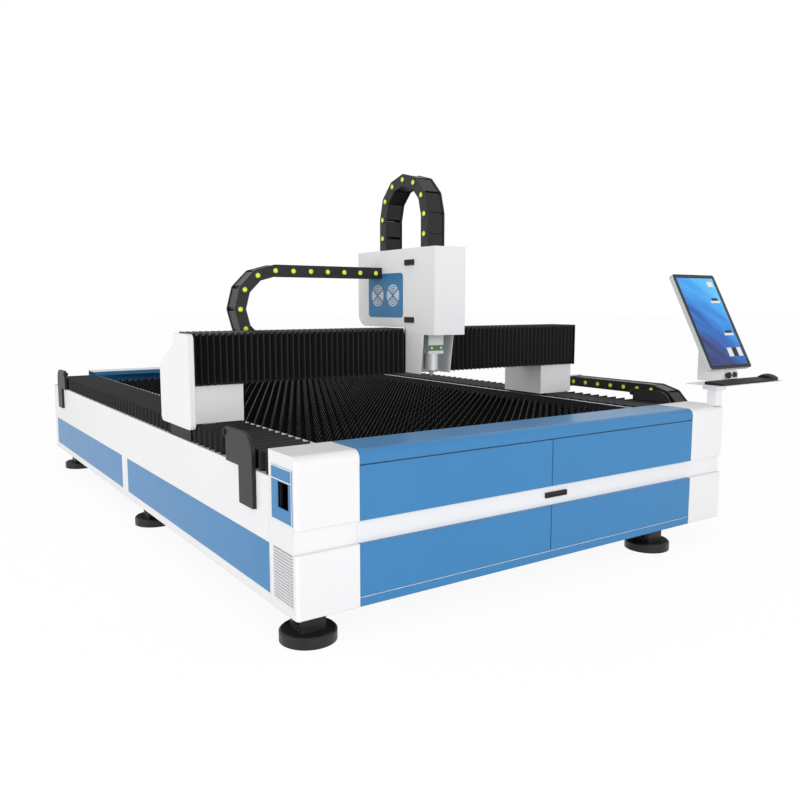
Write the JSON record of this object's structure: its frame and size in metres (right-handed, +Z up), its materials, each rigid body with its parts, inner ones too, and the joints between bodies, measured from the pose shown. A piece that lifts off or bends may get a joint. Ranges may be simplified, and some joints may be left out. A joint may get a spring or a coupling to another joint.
{
  "type": "fiber laser cutting machine",
  "caption": "Flat-bed fiber laser cutter: welded bed with toothed slat table, sliding gantry with pleated covers, travelling cutting head, drag chains and an operator console.",
  "frame": {"origin": "on the floor under the middle of the outer box", "axes": "+Y along the bed from the operator's end to the rear, +X along the gantry to the right, +Z up"},
  "size_m": [2.6698, 3.977, 1.7547],
  "materials": {
    "machined_steel": "ground and machined steel",
    "cut_plate": "burnt and scaled steel plate",
    "white_paint": "fine textured white powder coat",
    "blue_paint": "satin blue powder coat",
    "housing_blue": "satin blue powder coat",
    "grey_paint": "light grey powder coat",
    "dark_paint": "dark grey powder coat",
    "black_paint": "black powder coat",
    "grille_grey": "grey moulded plastic",
    "bellows_cloth": "coated black cloth, folded",
    "black_rubber": "moulded black rubber",
    "chain_plastic": "moulded black plastic",
    "black_plastic": "textured black plastic",
    "monitor_plastic": "smooth black plastic",
    "screen_face": "lit screen behind a smooth face",
    "bright_steel": "plated and polished",
    "alloy_plate": "milled and bead-blasted alloy",
    "drawer_green": "green anodised look"
  },
  "bodies": {
    "bed": {"side_beams": "machined_steel", "crossbeams": "machined_steel", "levelling_feet": "black_paint", "side_skirts": "white_paint", "infill_panels": "blue_paint", "corner_covers": "white_paint", "vent_grilles": "grey_paint", "window_plates": "blue_paint", "front_backplate": "white_paint", "front_top_cap": "blue_paint", "front_panels": "blue_paint", "front_pull": "black_plastic", "rear_panel": "blue_paint", "rear_top_cap": "white_paint", "slats": "cut_plate", "slat_supports": "dark_paint", "scrap_trays": "dark_paint", "y_guides": "machined_steel", "y_bellows_front": "bellows_cloth", "y_bellows_rear": "bellows_cloth", "end_stop_brackets": "dark_paint", "end_stop_bumpers": "black_rubber", "y_chain_tray": "white_paint", "y_chain_lower_run": "chain_plastic", "console_post": "white_paint", "console_tray": "white_paint", "console_head": "white_paint", "keyboard": "black_plastic", "mouse": "black_plastic", "monitor_case": "monitor_plastic", "monitor_screen": "screen_face"},
    "gantry": {"gantry_beam": "machined_steel", "gantry_end_cover": "white_paint", "gantry_right_cap": "black_paint", "gantry_feet": "white_paint", "y_blocks": "machined_steel", "x_rails": "machined_steel", "x_chain_tray": "white_paint", "x_chain_lower_run": "chain_plastic", "x_bellows_left": "bellows_cloth", "x_bellows_right": "bellows_cloth", "y_chain_upper_run": "chain_plastic"},
    "carriage": {"carriage": "alloy_plate", "rear_housing": "white_paint", "front_cover": "white_paint", "cover_latches": "black_plastic", "fan_panel": "housing_blue", "fan_grilles": "grille_grey", "head_guard": "white_paint", "x_chain_upper_run": "chain_plastic", "z_chain_rear_leg": "chain_plastic"},
    "head": {"z_slide": "alloy_plate", "cutting_head": "alloy_plate", "lens_drawer": "drawer_green", "z_chain_front_leg": "chain_plastic"},
    "x_bend": {"x_chain_bend": "chain_plastic"},
    "y_bend": {"y_chain_bend": "chain_plastic"},
    "z_bend": {"z_chain_bend": "chain_plastic"},
    "stop_button": {"emergency_stop": "black_plastic"},
    "key": {"key_switch": "bright_steel"}
  },
  "joints": [
    {"name": "gantry_slide", "type": "slide", "parent": "bed", "child": "gantry", "axis": [0, 1, 0], "range_m": [-0.33, 2.1], "deforming": ["y_bellows_front", "y_bellows_rear", "y_chain_upper_run", "y_chain_lower_run"]},
    {"name": "carriage_slide", "type": "slide", "parent": "gantry", "child": "carriage", "axis": [1, 0, 0], "range_m": [-0.58, 0.7], "deforming": ["x_bellows_left", "x_bellows_right", "x_chain_upper_run", "x_chain_lower_run"]},
    {"name": "head_slide", "type": "slide", "parent": "carriage", "child": "head", "axis": [0, 0, 1], "range_m": [-0.17, 0], "deforming": ["z_chain_rear_leg", "z_chain_front_leg"]},
    {"name": "x_chain_roll", "type": "slide", "parent": "gantry", "child": "x_bend", "axis": [1, 0, 0], "range_m": [-0.29, 0.35]},
    {"name": "y_chain_roll", "type": "slide", "parent": "bed", "child": "y_bend", "axis": [0, 1, 0], "range_m": [-0.165, 1.05]},
    {"name": "z_chain_roll", "type": "slide", "parent": "carriage", "child": "z_bend", "axis": [0, 0, 1], "range_m": [-0.085, 0]},
    {"name": "emergency_stop_press", "type": "slide", "parent": "bed", "child": "stop_button", "axis": [0, 1, 0], "range_m": [0, 0.006], "stiffness_N_per_m": 800},
    {"name": "key_switch_turn", "type": "hinge", "parent": "bed", "child": "key", "pos_m": [1.103, -1.8615, 0.785], "axis": [0, 1, 0], "range_deg": [0, 90]}
  ],
  "couplings": [
    {"joint": "x_chain_roll", "follows": "carriage_slide", "ratio": 0.5},
    {"joint": "y_chain_roll", "follows": "gantry_slide", "ratio": 0.5},
    {"joint": "z_chain_roll", "follows": "head_slide", "ratio": 0.5}
  ]
}
